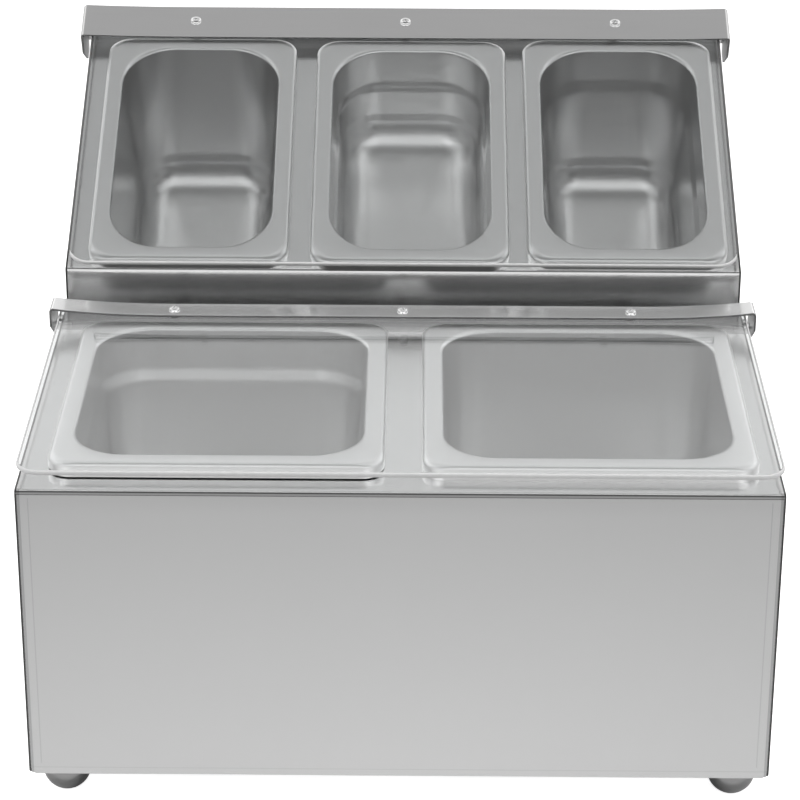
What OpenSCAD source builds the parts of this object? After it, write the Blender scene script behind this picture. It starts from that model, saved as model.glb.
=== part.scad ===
// Two-tier condiment caddy: a stainless sheet-metal housing with loose food pans in a level
// front deck and a sloping rear deck, and a clear flip lid hinged at the back of each deck.
// Millimetres, +Z up, +X to the user's right, +Y away from the user.
// The origin is on the table under the centre of the overall outline.

/* [Housing] */
// Outside width across the side panels
body_w = 364; // [358:1:372]
// Height of the front deck above the underside of the housing
deck_z = 155; // [148:1:162]
// Depth of the level front deck
lower_deck_l = 227; // [225:1:229]
// Height of the step between the two decks
riser_h = 22; // [20:1:26]
// Slope of the rear deck in degrees
upper_slope = 25; // [24:0.5:26]
// Length of the rear deck along its slope
upper_deck_l = 207; // [206:1:208]
// Thickness of the housing sheet
sheet_t = 1; // [0.8:0.1:1.2]
// Outside radius of the sheet bends
bend_r = 2.5; // [1.8:0.1:3]
// Rounding of the free lower corners of the panels
panel_corner_r = 3; // [1:0.5:5]

/* [Feet] */
// Height of a foot
foot_h = 19; // [17:0.5:22]
// Radius of a foot's ball
foot_r = 12; // [11:0.5:13]
// Distance of a foot's axis from the side of the housing
foot_side = 16; // [14:0.5:24]
// Distance of a foot's axis from the front or the back of the housing
foot_end = 22; // [16:0.5:26]
// Radius of a foot's stud
foot_stud_r = 3; // [2.5:0.5:4]

/* [Pans] */
// Length of every pan over its rim
pan_l = 176; // [174:1:176]
// Width of a front pan over its rim
lower_pan_w = 161; // [158:1:162]
// Width of a rear pan over its rim
upper_pan_w = 108; // [104:1:108]
// Depth of the deep pans
pan_depth = 100; // [80:1:104]
// Depth of the shallow middle pan in the rear deck
shallow_pan_depth = 65; // [60:1:80]
// Height of the pan rims above the deck
rim_h = 6; // [5:0.5:6.5]
// Distance from the outside of a front pan's rim to its wall
lower_rim_w = 10.5; // [9:0.5:12]
// Distance from the outside of a rear pan's rim to its wall
upper_rim_w = 10; // [9:0.5:12]
// Thickness of the pan sheet
pan_t = 0.8; // [0.7:0.1:1]
// How far the loose front left pan rides up at its front edge
pan_lift = 0.6; // [0.5:0.1:1.4]
// Distance between the centres of the front cut-outs
lower_pan_pitch = 179; // [178:0.5:182]
// Distance between the centres of the rear cut-outs
upper_pan_pitch = 118.5; // [116:0.5:119]
// How far the front pans sit to the right of centre in their play
lower_pan_shift = 1.5; // [-2:0.5:2]
// How far the rear pans sit to the right of centre in their play
upper_pan_shift = 2.5; // [-2.5:0.5:2.5]
// Distance from the front edge of the front deck to the pans
lower_pan_start = 14; // [13:0.5:15]
// Distance from the front edge of the rear deck to the pans
upper_pan_start = 0.5; // [0.5:0.5:2]

/* [Lids] */
// Thickness of the clear lid sheet
lid_t = 2.5; // [2:0.1:3]
// Width of the front lid
lower_lid_w = 364; // [358:1:366]
// Width of the rear lid
upper_lid_w = 361; // [356:1:366]
// Distance of the front lid's free edge from the front of the housing
lower_lid_start = 0; // [0:0.5:3]
// How far the rear lid's free edge hangs over the step
upper_lid_overhang = 3; // [1:0.5:3.5]
// Radius of the free corners of a lid
lid_corner_r = 12; // [5:0.5:14]

/* [Hinges] */
// Thickness of a hinge strip
strip_t = 1.2; // [1:0.1:1.5]
// Depth of the front lid's hinge strip
lower_strip_w = 16; // [14:0.5:16]
// Distance of the front lid's strip from the front of the deck
lower_strip_start = 188.5; // [188.5:0.5:190]
// How far the ends of the front lid's strip bow up
lower_strip_bow = 3.3; // [0:0.1:3.5]
// Depth of the rear lid's hinge strip
upper_strip_w = 25.5; // [24:0.5:26]
// Distance of the rear lid's strip from the front of the rear deck
upper_strip_start = 174.5; // [174:0.5:176]
// How far the ends of the rear lid's strip bow up
upper_strip_bow = 1.2; // [0:0.1:2]
// Distance between the screws along a strip
screw_pitch = 121; // [100:1:125]
// Radius of the hinge pins
pin_r = 2; // [1.5:0.1:2.2]
// Position of the front hinge axis along the front deck
lower_pivot_s = 208.5; // [208.5:0.1:209]
// Position of the rear hinge axis along the rear deck
upper_pivot_s = 197; // [196.5:0.1:198]

/* [Pose] */
// Opening angle of the front lid, 0 when it is closed
lower_lid_angle = 0; // [0:1:86]
// Opening angle of the rear lid, 0 when it is closed
upper_lid_angle = 0; // [0:1:150]

/* [Hidden] */
$fn = 48;
eps = 0.01;
through = 60;                               // length of every cutting solid that goes right through
air = 0.3;                                  // play between a fixed piece and a moving one
lower_lid_rise = 1.8;                       // gap between the front rims and their lid
fit = 0.05;                                 // play of a hinge pin in its hole
panel_x = body_w / 2;                       // outer face of a side panel
inner_x = panel_x - sheet_t;                // inner face of a side panel

// Hinge ears stand outside the side panels, with a spacer between.
ear_gap = 3.5;
ear_in = panel_x + ear_gap;
ear_out = ear_in + strip_t;
lower_pivot_h = -3;                         // front hinge axis, below the deck surface
upper_pivot_h = -8;                         // rear hinge axis, below the deck surface

// Outline of an ear below its strip: distance behind the strip's front edge, height above the deck.
lower_ear = [[0, 4.5], [18, -7], [25, -7], [29, -3], [29, 9]];
upper_ear = [[0, -3.5], [13.5, -20], [21.5, -20], [29.5, -4], [29.5, 1]];

// Heights above the deck surface, from the rims up.
lower_lid_h = rim_h + lower_lid_rise;
upper_lid_h = rim_h + air;
lower_strip_h = lower_lid_h + lid_t;
upper_strip_h = upper_lid_h + lid_t;
lower_strip_end = lower_strip_start + lower_strip_w;
upper_strip_end = upper_strip_start + upper_strip_w;
upper_screw_back = 0.75;                    // how far the rear screws are behind their strip's middle
screw_flat = 5;                             // flat part of a strip beyond an outer screw
lower_screw_s = lower_strip_start + lower_strip_w / 2;
upper_screw_s = upper_strip_start + upper_strip_w / 2 + upper_screw_back;
flat_half = screw_pitch + screw_flat;       // half the length of a strip's flat middle

// Outline of the housing from the side.
step_lap = 12;                              // how far the step's sheet reaches down behind the front deck
back_y = lower_deck_l + upper_deck_l * cos(upper_slope);
back_z = deck_z + riser_h + upper_deck_l * sin(upper_slope);

// Centres of the cut-outs, across.
lower_cut_xs = [for (i = [-0.5, 0.5]) i * lower_pan_pitch];
upper_cut_xs = [for (i = [-1:1]) i * upper_pan_pitch];

// Each loose rear pan's own place in its play, across and along.
upper_pan_play = [[0, 0.5], [1, -0.5], [0, 1]];

// Pan shape.
pan_tilt = asin(pan_lift / pan_l);
pan_bend_r = 2.5;                           // bend between rim and skirt
pan_lip_r = 1.5;                            // bend between rim and wall
pan_floor_r = 16;                           // fillet between wall and floor
pan_draft = 0.06;                           // lean of the walls, sideways per unit down
shoulder_z = 25;                            // depth of the stacking shoulder below the rim
shoulder_in = 1.6;                          // inward step of the stacking shoulder
rim_corner_r = 11;                          // corner radius at the outside of the rim
mouth_corner_r = 28;                        // corner radius at the mouth
corner_steps = 6;
cut_play = 5;                               // gap between a pan's wall and its cut-out
cut_corner_r = 26;

// Screws and nuts.
screw_r = 1.5;
screw_head_r = 3;
screw_head_h = 1.7;
screw_dome_r = 5;                           // radius of the head's domed top
screw_spare = 0.5;                          // length of the screw below its nut
recess_w = 0.75;                            // width of a head's cross recess
recess_l = 3.8;
recess_depth = 0.8;
screw_turns = [-15, 20, 55];                // turn of each recess, left to right
nut_r = 3.2;
nut_h = 1.8;
foot_nut_r = 6;
foot_nut_h = 4;

// Hinge pins.
pivot_head_r = 4;                           // radius of a pin's head and of its spacer
pivot_head_h = 1.8;

// Feet.
foot_flat_r = 5;                            // radius of the flat that a foot stands on
foot_collar_r = 8;
foot_collar_h = 2.5;
foot_stud_spare = 3;                        // length of the stud above its nut

// ---------- places ----------

// The underside of the housing's front edge, in the part's frame.
module at_housing() { translate([0, -back_y / 2, foot_h]) children(); }

// A deck's own frame: x across, y along the deck from its front edge, z out of the deck.
module at_lower_deck() { at_housing() translate([0, 0, deck_z]) children(); }
module at_upper_deck() {
    at_housing() translate([0, lower_deck_l, deck_z + riser_h]) rotate([upper_slope, 0, 0]) children();
}

// The same frames, turned about the hinge axis by the opening angle.
module on_lower_lid() {
    at_lower_deck() translate([0, lower_pivot_s, lower_pivot_h]) rotate([-lower_lid_angle, 0, 0])
        translate([0, -lower_pivot_s, -lower_pivot_h]) children();
}
module on_upper_lid() {
    at_upper_deck() translate([0, upper_pivot_s, upper_pivot_h]) rotate([-upper_lid_angle, 0, 0])
        translate([0, -upper_pivot_s, -upper_pivot_h]) children();
}

module at_foot(side, end) {
    foot_x = side * (panel_x - foot_side);
    foot_y = end < 0 ? foot_end : back_y - foot_end;
    at_housing() translate([foot_x, foot_y, 0]) children();
}

// ---------- shared shapes ----------

// Points of an arc, from angle a0 to a1.
function arc(c, r, a0, a1, n = 8) =
    [for (i = [0:n]) let (a = a0 + (a1 - a0) * i / n) [c[0] + r * cos(a), c[1] + r * sin(a)]];

// A rectangle with round corners, centred across x and starting at y = 0.
module round_rect(w, l, r) {
    translate([-w / 2 + r, 0]) square([w - 2 * r, l]);
    translate([-w / 2, r]) square([w, l - 2 * r]);
    for (x = [-1, 1], y = [r, l - r]) translate([x * (w / 2 - r), y]) circle(r);
}

// Extrudes a (y, z) outline along x, centred on x = 0.
module across(w) {
    translate([-w / 2, 0, 0]) rotate([90, 0, 90]) linear_extrude(w) children();
}

// Extrudes a (y, z) outline from x0 outwards on one side of the part.
module beside(side, x0, t) {
    translate([side > 0 ? x0 : -x0 - t, 0, 0]) rotate([90, 0, 90]) linear_extrude(t) children();
}

// ---------- housing ----------

// Cut-outs for a row of pans, in a deck's frame.
module pan_cuts(xs, w, start, rim_w) {
    opening_w = w - 2 * rim_w + 2 * cut_play;
    opening_l = pan_l - 2 * rim_w + 2 * cut_play;
    for (x = xs) translate([x, start + rim_w - cut_play, -bend_r])
        linear_extrude(2 * bend_r) round_rect(opening_w, opening_l, cut_corner_r);
}

// Front panel and level deck, bent from one sheet.
module lower_shell() {
    module front_edge(r, inset) {
        translate([inset + r, deck_z - inset - r]) circle(r);
        translate([inset, -inset]) square([lower_deck_l, deck_z - r]);
        translate([inset + r, -inset]) square([lower_deck_l - r, deck_z]);
    }
    color("silver") at_housing() difference() {
        across(2 * inner_x) intersection() {
            difference() {
                front_edge(bend_r, 0);
                front_edge(bend_r - sheet_t, sheet_t);
            }
            square([lower_deck_l, deck_z]);
        }
        translate([0, 0, deck_z]) pan_cuts(lower_cut_xs, lower_pan_w, lower_pan_start, lower_rim_w);
        for (side = [-1, 1]) translate([side * (inner_x - panel_corner_r), 0, panel_corner_r])
            rotate([90, 0, 0]) linear_extrude(2 * bend_r, center = true) difference() {
                translate([side > 0 ? 0 : -panel_corner_r - 1, -panel_corner_r - 1])
                    square(panel_corner_r + 1);
                circle(panel_corner_r);
            }
    }
}

// Step and sloping deck, bent from one sheet. The step reaches down behind the level deck.
module upper_shell() {
    turn = 90 - upper_slope;                // angle that the sheet turns through at the bend
    reach = bend_r * tan(turn / 2);         // distance of the bend's ends from the sharp corner
    corner = [lower_deck_l, deck_z + riser_h];
    c = corner + [bend_r, -reach];
    down = sheet_t / cos(upper_slope);
    color("silver") at_housing() difference() {
        across(2 * inner_x) polygon(concat(
            [[lower_deck_l, deck_z - step_lap]],
            arc(c, bend_r, 180, 90 + upper_slope),
            [[back_y, back_z], [back_y, back_z - down]],
            arc(c, bend_r - sheet_t, 90 + upper_slope, 180),
            [[lower_deck_l + sheet_t, deck_z - step_lap]]));
        translate([0, lower_deck_l, deck_z + riser_h]) rotate([upper_slope, 0, 0])
            pan_cuts(upper_cut_xs, upper_pan_w, upper_pan_start, upper_rim_w);
    }
}

module back_panel() {
    down = sheet_t / cos(upper_slope);
    color("silver") at_housing() across(2 * inner_x)
        polygon([
            [back_y - sheet_t, 0],
            [back_y, 0],
            [back_y, back_z - down],
            [back_y - sheet_t, back_z - down - sheet_t * tan(upper_slope)]
        ]);
}

module base_panel() {
    color("silver") at_housing() difference() {
        translate([-inner_x, sheet_t, 0]) cube([2 * inner_x, back_y - 2 * sheet_t, sheet_t]);
        for (side = [-1, 1], y = [foot_end, back_y - foot_end])
            translate([side * (panel_x - foot_side), y, 0])
                cylinder(r = foot_stud_r, h = through, center = true);
    }
}

module side_panel(side) {
    color("silver") at_housing() difference() {
        beside(side, inner_x, sheet_t) union() {
            translate([bend_r, deck_z - bend_r]) circle(bend_r);
            translate([panel_corner_r, panel_corner_r]) circle(panel_corner_r);
            polygon([
                [panel_corner_r, 0], [back_y, 0], [back_y, back_z],
                [lower_deck_l, deck_z + riser_h], [lower_deck_l, deck_z], [bend_r, deck_z],
                [0, deck_z - bend_r], [0, panel_corner_r]
            ]);
        }
        translate([side * panel_x, lower_pivot_s, deck_z + lower_pivot_h]) pin_hole(pin_r);
        translate([side * panel_x, lower_deck_l, deck_z + riser_h]) rotate([upper_slope, 0, 0])
            translate([0, upper_pivot_s, upper_pivot_h]) pin_hole(pin_r);
    }
}
module pin_hole(r) { rotate([0, 90, 0]) cylinder(r = r, h = through, center = true); }
module left_side_panel() { side_panel(-1); }
module right_side_panel() { side_panel(1); }

// ---------- feet ----------

// A turned foot: a ball cut off flat where it stands and under its collar, and a stud.
module foot(side, end) {
    ball_h = sqrt(pow(foot_r, 2) - pow(foot_flat_r, 2)) - foot_h;
    color("dimgray") at_foot(side, end) union() {
        intersection() {
            translate([0, 0, ball_h]) sphere(foot_r);
            translate([0, 0, -foot_h]) cylinder(r = foot_r + 1, h = foot_h - foot_collar_h);
        }
        translate([0, 0, -foot_collar_h - eps]) cylinder(r = foot_collar_r, h = foot_collar_h + eps);
        cylinder(r = foot_stud_r, h = sheet_t + foot_nut_h + foot_stud_spare);
    }
}

module foot_nut(side, end) {
    color("gray") at_foot(side, end) translate([0, 0, sheet_t]) difference() {
        cylinder(r = foot_nut_r, h = foot_nut_h, $fn = 6);
        cylinder(r = foot_stud_r, h = through, center = true);
    }
}

// ---------- pans ----------

// One level of a pan: a rounded rectangle, anticlockwise from above.
function ring(w, l, r, z) =
    [for (q = [[1, 1, 0], [-1, 1, 90], [-1, -1, 180], [1, -1, 270]])
        for (p = arc([q[0] * (w / 2 - r), q[1] * (l / 2 - r)], r, q[2], q[2] + 90, corner_steps))
            [p[0], p[1], z]];

// Corner radius at a distance in from the rim's outside: it grows across the rim,
// and shrinks again as the walls draw in towards the floor.
function corner_at(inset, rim_w) = inset < rim_w
    ? rim_corner_r + (mouth_corner_r - rim_corner_r) * inset / rim_w
    : mouth_corner_r - (inset - rim_w);

// Section of a pan's wall as [inset, height] pairs. The visible face has off = 0, and the
// hidden face, one sheet behind it, has off = pan_t. Heights are from the skirt's edge.
function wall_section(rim_w, depth, step, off) =
    let (floor_z = rim_h - depth,
         foot_in = rim_w + step + pan_draft * (depth - pan_lip_r),
         c = [foot_in + pan_floor_r, floor_z + pan_floor_r])
    concat(
        [for (a = [0:22.5:90]) [c[0] - (pan_floor_r + off) * sin(a), c[1] - (pan_floor_r + off) * cos(a)]],
        [[rim_w + step + pan_draft * (shoulder_z + 3) - off, rim_h - shoulder_z - 3],
         [rim_w + pan_draft * shoulder_z - off, rim_h - shoulder_z + 1]],
        [for (a = [90:-30:0]) [rim_w - pan_lip_r + (pan_lip_r - off) * sin(a),
                               rim_h - pan_lip_r + (pan_lip_r - off) * cos(a)]],
        [for (a = [0:30:90]) [pan_bend_r - (pan_bend_r - off) * sin(a),
                              rim_h - pan_bend_r + (pan_bend_r - off) * cos(a)]],
        [[off, 0]]);

function reverse(v) = [for (i = [len(v) - 1:-1:0]) v[i]];

// A drawn pan as one closed skin: up the inside from the floor, over the rim, down the skirt,
// and back along the hidden face.
module pan_skin(w, l, rim_w, depth, step) {
    section = concat(wall_section(rim_w, depth, step, 0), reverse(wall_section(rim_w, depth, step, pan_t)));
    rings = [for (p = section) ring(w - 2 * p[0], l - 2 * p[0], corner_at(p[0], rim_w), p[1])];
    n = len(rings[0]);
    last = len(rings) - 1;
    polyhedron(
        points = [for (r = rings) each r],
        faces = concat(
            [[for (i = [n - 1:-1:0]) i]],
            [for (k = [0:last - 1], i = [0:n - 1]) let (j = (i + 1) % n, a = k * n, b = a + n)
                each [[a + i, a + j, b + j], [a + i, b + j, b + i]]],
            [[for (i = [0:n - 1]) last * n + i]]),
        convexity = 6);
}

module lower_pan(i, lift, step) {
    tilt = lift ? pan_tilt : 0;
    x = lower_cut_xs[i] + lower_pan_shift;
    color("lightgray") at_lower_deck() translate([x, lower_pan_start + pan_l, 0])
        rotate([-tilt, 0, 0]) translate([0, -pan_l / 2, 0])
            pan_skin(lower_pan_w, pan_l, lower_rim_w, pan_depth, step);
}
module upper_pan(i, depth, step) {
    play = upper_pan_play[i];
    x = upper_cut_xs[i] + upper_pan_shift + play[0];
    color("lightgray") at_upper_deck() translate([x, upper_pan_start + play[1] + pan_l / 2, 0])
        pan_skin(upper_pan_w, pan_l, upper_rim_w, depth, step);
}
module lower_pan_left() { lower_pan(0, true, shoulder_in); }
module lower_pan_right() { lower_pan(1, false, 0); }
module upper_pan_left() { upper_pan(0, pan_depth, 0); }
module upper_pan_middle() { upper_pan(1, shallow_pan_depth, shoulder_in); }
module upper_pan_right() { upper_pan(2, pan_depth, shoulder_in); }

// ---------- lids ----------

// A clear sheet with round corners at its free edge, from s0 to s1 along the deck.
module lid_sheet(w, s0, s1, h, screw_s) {
    r = lid_corner_r;
    difference() {
        translate([0, s0, h]) linear_extrude(lid_t) intersection() {
            round_rect(w, s1 - s0 + 2 * r, r);
            translate([-w / 2, 0]) square([w, s1 - s0]);
        }
        screw_holes(screw_s);
    }
}
module screw_holes(s) {
    for (i = [-1:1]) translate([i * screw_pitch, s, 0]) cylinder(r = screw_r, h = through, center = true);
}

module lower_lid() {
    color("aliceblue", 0.4) on_lower_lid()
        lid_sheet(lower_lid_w, lower_lid_start, lower_strip_end, lower_lid_h, lower_screw_s);
}
module upper_lid() {
    color("aliceblue", 0.4) on_upper_lid()
        lid_sheet(upper_lid_w, -upper_lid_overhang, upper_strip_end, upper_lid_h, upper_screw_s);
}

// Rise of a strip above the lid: flat as far as the outer screws' heads, then curving up.
function rise(x, bow) = bow * pow(max(0, abs(x) - flat_half) / (ear_out - flat_half), 2);

// A strip of sheet on top of the lid, with an ear turned down at each end.
module hinge_strip(s0, w, h, bow, screw_s, pivot, ear) {
    right_xs = [for (i = [0:12]) flat_half + (ear_out - flat_half) * i / 12];
    xs = concat([for (x = reverse(right_xs)) -x], right_xs);
    top = h + bow + strip_t / 2;
    difference() {
        union() {
            translate([0, s0 + w, 0]) rotate([90, 0, 0]) linear_extrude(w) polygon(concat(
                [for (x = xs) [x, h + rise(x, bow)]],
                [for (x = reverse(xs)) [x, h + rise(x, bow) + strip_t]]));
            for (side = [-1, 1]) beside(side, ear_in, strip_t)
                polygon(concat([[s0, top]], [for (p = ear) [s0 + p[0], p[1]]], [[s0 + w, top]]));
        }
        screw_holes(screw_s);
        for (side = [-1, 1]) translate([side * ear_in, pivot[0], pivot[1]]) pin_hole(pin_r + fit);
    }
}

module lower_hinge_strip() {
    color("gray") on_lower_lid() hinge_strip(
        lower_strip_start, lower_strip_w, lower_strip_h, lower_strip_bow, lower_screw_s,
        [lower_pivot_s, lower_pivot_h], lower_ear);
}
module upper_hinge_strip() {
    color("gray") on_upper_lid() hinge_strip(
        upper_strip_start, upper_strip_w, upper_strip_h, upper_strip_bow, upper_screw_s,
        [upper_pivot_s, upper_pivot_h], upper_ear);
}

// A domed screw with a cross recess, standing on a strip of height h. Each was left at its own turn.
module screw(i, s, h) {
    below = strip_t + lid_t + nut_h + screw_spare;
    translate([i * screw_pitch, s, h]) difference() {
        union() {
            intersection() {
                cylinder(r = screw_head_r, h = screw_head_h);
                translate([0, 0, screw_head_h - screw_dome_r]) sphere(screw_dome_r);
            }
            translate([0, 0, -below]) cylinder(r = screw_r, h = below + eps);
        }
        for (a = [0, 90]) rotate([0, 0, screw_turns[i + 1] + a]) translate([0, 0, screw_head_h])
            cube([recess_l, recess_w, 2 * recess_depth], center = true);
    }
}
module nut(i, s, h) {
    translate([i * screw_pitch, s, h - nut_h]) difference() {
        cylinder(r = nut_r, h = nut_h, $fn = 6);
        cylinder(r = screw_r, h = through, center = true);
    }
}
module lower_screw(i) { color("lightgray") on_lower_lid() screw(i, lower_screw_s, lower_strip_h + strip_t); }
module upper_screw(i) { color("lightgray") on_upper_lid() screw(i, upper_screw_s, upper_strip_h + strip_t); }
module lower_nut(i) { color("lightgray") on_lower_lid() nut(i, lower_screw_s, lower_lid_h); }
module upper_nut(i) { color("lightgray") on_upper_lid() nut(i, upper_screw_s, upper_lid_h); }

// A shouldered pin, riveted flush into a side panel: shank, spacer and domed head, along +z.
module pivot() {
    head_z = ear_out + air;
    ball = (pow(pivot_head_r, 2) + pow(pivot_head_h, 2)) / (2 * pivot_head_h);
    translate([0, 0, inner_x]) cylinder(r = pin_r, h = head_z - inner_x + eps);
    translate([0, 0, panel_x]) cylinder(r = pivot_head_r, h = ear_gap - air);
    intersection() {
        translate([0, 0, head_z]) cylinder(r = pivot_head_r, h = pivot_head_h);
        translate([0, 0, head_z + pivot_head_h - ball]) sphere(ball);
    }
}
module lower_pivot(side) {
    color("darkgray") at_lower_deck() translate([0, lower_pivot_s, lower_pivot_h])
        rotate([0, side * 90, 0]) pivot();
}
module upper_pivot(side) {
    color("darkgray") at_upper_deck() translate([0, upper_pivot_s, upper_pivot_h])
        rotate([0, side * 90, 0]) pivot();
}

lower_shell();
upper_shell();
back_panel();
base_panel();
left_side_panel();
right_side_panel();
foot(-1, -1);  // foot_front_left
foot(1, -1);  // foot_front_right
foot(-1, 1);  // foot_back_left
foot(1, 1);  // foot_back_right
foot_nut(-1, -1);  // foot_nut_front_left
foot_nut(1, -1);  // foot_nut_front_right
foot_nut(-1, 1);  // foot_nut_back_left
foot_nut(1, 1);  // foot_nut_back_right
lower_pan_left();
lower_pan_right();
upper_pan_left();
upper_pan_middle();
upper_pan_right();
lower_pivot(-1);  // lower_pivot_left
lower_pivot(1);  // lower_pivot_right
upper_pivot(-1);  // upper_pivot_left
upper_pivot(1);  // upper_pivot_right
lower_lid();
lower_hinge_strip();
lower_screw(-1);  // lower_screw_left
lower_screw(0);  // lower_screw_middle
lower_screw(1);  // lower_screw_right
lower_nut(-1);  // lower_nut_left
lower_nut(0);  // lower_nut_middle
lower_nut(1);  // lower_nut_right
upper_lid();
upper_hinge_strip();
upper_screw(-1);  // upper_screw_left
upper_screw(0);  // upper_screw_middle
upper_screw(1);  // upper_screw_right
upper_nut(-1);  // upper_nut_left
upper_nut(0);  // upper_nut_middle
upper_nut(1);  // upper_nut_right
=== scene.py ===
# %% [markdown]
# # A two-tier condiment caddy
# The caddy is a folded sheet-steel housing on four round feet. Five loose food pans hang in its
# two decks, and each deck has a clear lid that flips back on a steel hinge strip. The solid model
# is already packed, so the first step loads it as a fixed frame. Every later piece is laid over it,
# and rides on one of its bodies.

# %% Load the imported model
import math

import bpy
import numpy as np
from mathutils import Matrix, Vector


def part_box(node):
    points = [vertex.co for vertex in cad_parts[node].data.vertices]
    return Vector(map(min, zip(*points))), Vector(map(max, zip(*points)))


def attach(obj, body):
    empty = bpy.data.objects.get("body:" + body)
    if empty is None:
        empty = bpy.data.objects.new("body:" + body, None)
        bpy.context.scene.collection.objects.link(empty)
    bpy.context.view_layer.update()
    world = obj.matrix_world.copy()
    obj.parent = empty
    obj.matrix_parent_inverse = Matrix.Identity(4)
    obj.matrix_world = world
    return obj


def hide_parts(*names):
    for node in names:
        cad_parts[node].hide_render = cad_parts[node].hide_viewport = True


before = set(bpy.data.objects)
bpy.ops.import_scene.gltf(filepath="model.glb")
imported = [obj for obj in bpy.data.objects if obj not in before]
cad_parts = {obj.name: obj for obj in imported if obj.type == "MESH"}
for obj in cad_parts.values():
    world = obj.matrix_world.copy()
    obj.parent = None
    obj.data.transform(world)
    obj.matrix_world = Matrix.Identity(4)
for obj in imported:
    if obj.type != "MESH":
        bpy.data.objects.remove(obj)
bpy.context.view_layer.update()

# %% [markdown]
# ## Driving sizes
# The pieces follow a handful of measures, in millimetres. The housing gives the outline, and each
# deck is a flat frame of its own: x runs across, s runs back along the deck from its front edge,
# and h stands square out of it. Working in deck coordinates keeps the sloping tier as easy as the
# level one, and one function per deck turns them into the part's own place in metres.

# %% Housing sizes and the two deck frames
MM = 0.001
body_w = 364.0
deck_z = 155.0
front_deck_l = 227.0
riser_h = 22.0
slope = math.radians(25)
rear_deck_l = 207.0
sheet_t = 1.0
bend_r = 2.5
panel_corner_r = 3.0
feet = [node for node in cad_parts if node.startswith("foot_")]
foot_h = -min(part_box(node)[0].z for node in feet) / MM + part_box("base_panel")[0].z / MM
inner_x = body_w / 2 - sheet_t
back_y = front_deck_l + rear_deck_l * math.cos(slope)
print("foot height", round(foot_h, 2), "depth", round(back_y, 2))


def housing(y, z):
    """Moves (y, z) from the housing's lower front edge to the part's frame, in millimetres."""
    return y - back_y / 2, z + foot_h


def on_front_deck(x, s, h):
    """Points (x, s, h) of the level deck: y = s, z = deck height + h."""
    y, z = housing(s, deck_z + h)
    return np.stack(np.broadcast_arrays(x, y, z), axis=-1)


def on_rear_deck(x, s, h):
    """Points (x, s, h) of the sloping deck: y = s cos a - h sin a, z = s sin a + h cos a,
    from the top of the step."""
    y, z = housing(
        front_deck_l + s * math.cos(slope) - h * math.sin(slope),
        deck_z + riser_h + s * math.sin(slope) + h * math.cos(slope),
    )
    return np.stack(np.broadcast_arrays(x, y, z), axis=-1)


# %% [markdown]
# ## Surfaces from grids
# A sheet-metal or pressed piece is a surface with two directions, so its points fill a grid with
# numpy, and the faces simply join neighbours. One helper numbers those faces, and one puts points
# and faces in a mesh. The volume that a closed piece encloses is above 0 where its faces point
# outwards, and it can be set against the real piece's.

# %% Helpers for faces and meshes
def grid_faces(rows, columns, wrap=False):
    """Faces (i, j), (i+1, j), (i+1, j+1), (i, j+1) of a rows by columns grid of points."""
    count = np.arange(rows * columns).reshape(rows, columns)
    if wrap:
        count = np.hstack([count, count[:, :1]])
    corners = [count[:-1, :-1], count[1:, :-1], count[1:, 1:], count[:-1, 1:]]
    return np.stack(corners, axis=-1).reshape(-1, 4)


def make_mesh(name, points, faces, caps=(), sharp=35):
    """A mesh object from points in millimetres, smooth four-sided faces and flat caps. A cap
    doesn't share its shading with its neighbours, so a wide one stays even up to its border."""
    mesh = bpy.data.meshes.new(name)
    flat = points.reshape(-1, 3) * MM
    mesh.from_pydata(flat.tolist(), [], faces.tolist() + [list(cap) for cap in caps])
    mesh.shade_smooth()
    mesh.set_sharp_from_angle(angle=math.radians(sharp))
    smooth = np.ones(len(faces) + len(caps), bool)
    smooth[len(faces):] = False
    mesh.polygons.foreach_set("use_smooth", smooth)
    piece = bpy.data.objects.new(name, mesh)
    bpy.context.scene.collection.objects.link(piece)
    return piece


def enclosed_volume(piece):
    """Sum of a . (b x c) over the piece's triangles, over 6, in cubic millimetres: positive
    where the faces point outwards."""
    mesh = piece.data
    mesh.calc_loop_triangles()
    corners = np.empty(3 * len(mesh.loop_triangles), np.int32)
    mesh.loop_triangles.foreach_get("vertices", corners)
    places = np.empty(3 * len(mesh.vertices), np.float32)
    mesh.vertices.foreach_get("co", places)
    a, b, c = np.moveaxis((places.reshape(-1, 3) / MM)[corners].reshape(-1, 3, 3), 1, 0)
    return float(np.sum(a * np.cross(b, c))) / 6


def finish_piece(piece, material, slot, body, *nodes):
    """Gives a piece its finish, the body it rides on and the solid nodes it stands for."""
    piece.data.materials.clear()
    piece.data.materials.append(material)
    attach(piece, body)
    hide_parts(*nodes)
    print(piece.name, len(piece.data.polygons), "faces on", body)
    return piece


def arc(centre, radius, start, end, steps):
    """Points centre + radius (cos a, sin a), a going evenly from start to end in degrees."""
    a = np.radians(np.linspace(start, end, steps + 1))
    return np.stack([centre[0] + radius * np.cos(a), centre[1] + radius * np.sin(a)], axis=-1)


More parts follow.
